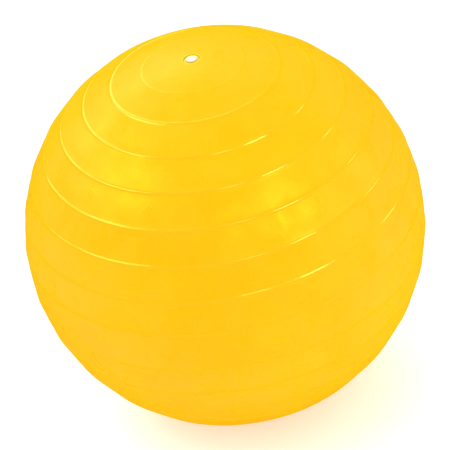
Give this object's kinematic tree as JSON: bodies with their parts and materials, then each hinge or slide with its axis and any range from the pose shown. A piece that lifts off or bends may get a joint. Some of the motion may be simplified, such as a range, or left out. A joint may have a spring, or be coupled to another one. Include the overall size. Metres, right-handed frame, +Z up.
{
  "type": "inflatable exercise ball",
  "caption": "Inflatable therapy ball with moulded grip ribs round both halves, a bonded valve seat at the top and a pull-out air plug.",
  "frame": {"origin": "middle of the flat on the underside of the ball, on the floor, under the valve", "axes": "+Z up, along the ball's own axis through the foot, the ball's centre and the valve; X and Y are any two directions across it"},
  "size_m": [0.45, 0.45, 0.4492],
  "materials": {
    "ball_vinyl": "satin",
    "seat_vinyl": "satin",
    "plug_plastic": "satin"
  },
  "bodies": {
    "ball": {"ball_shell": "ball_vinyl", "valve_seat": "seat_vinyl"},
    "plug": {"air_plug": "plug_plastic"}
  },
  "joints": [
    {"name": "plug_pull", "type": "slide", "parent": "ball", "child": "plug", "axis": [0, 0, 1], "range_m": [0, 0.032]}
  ]
}
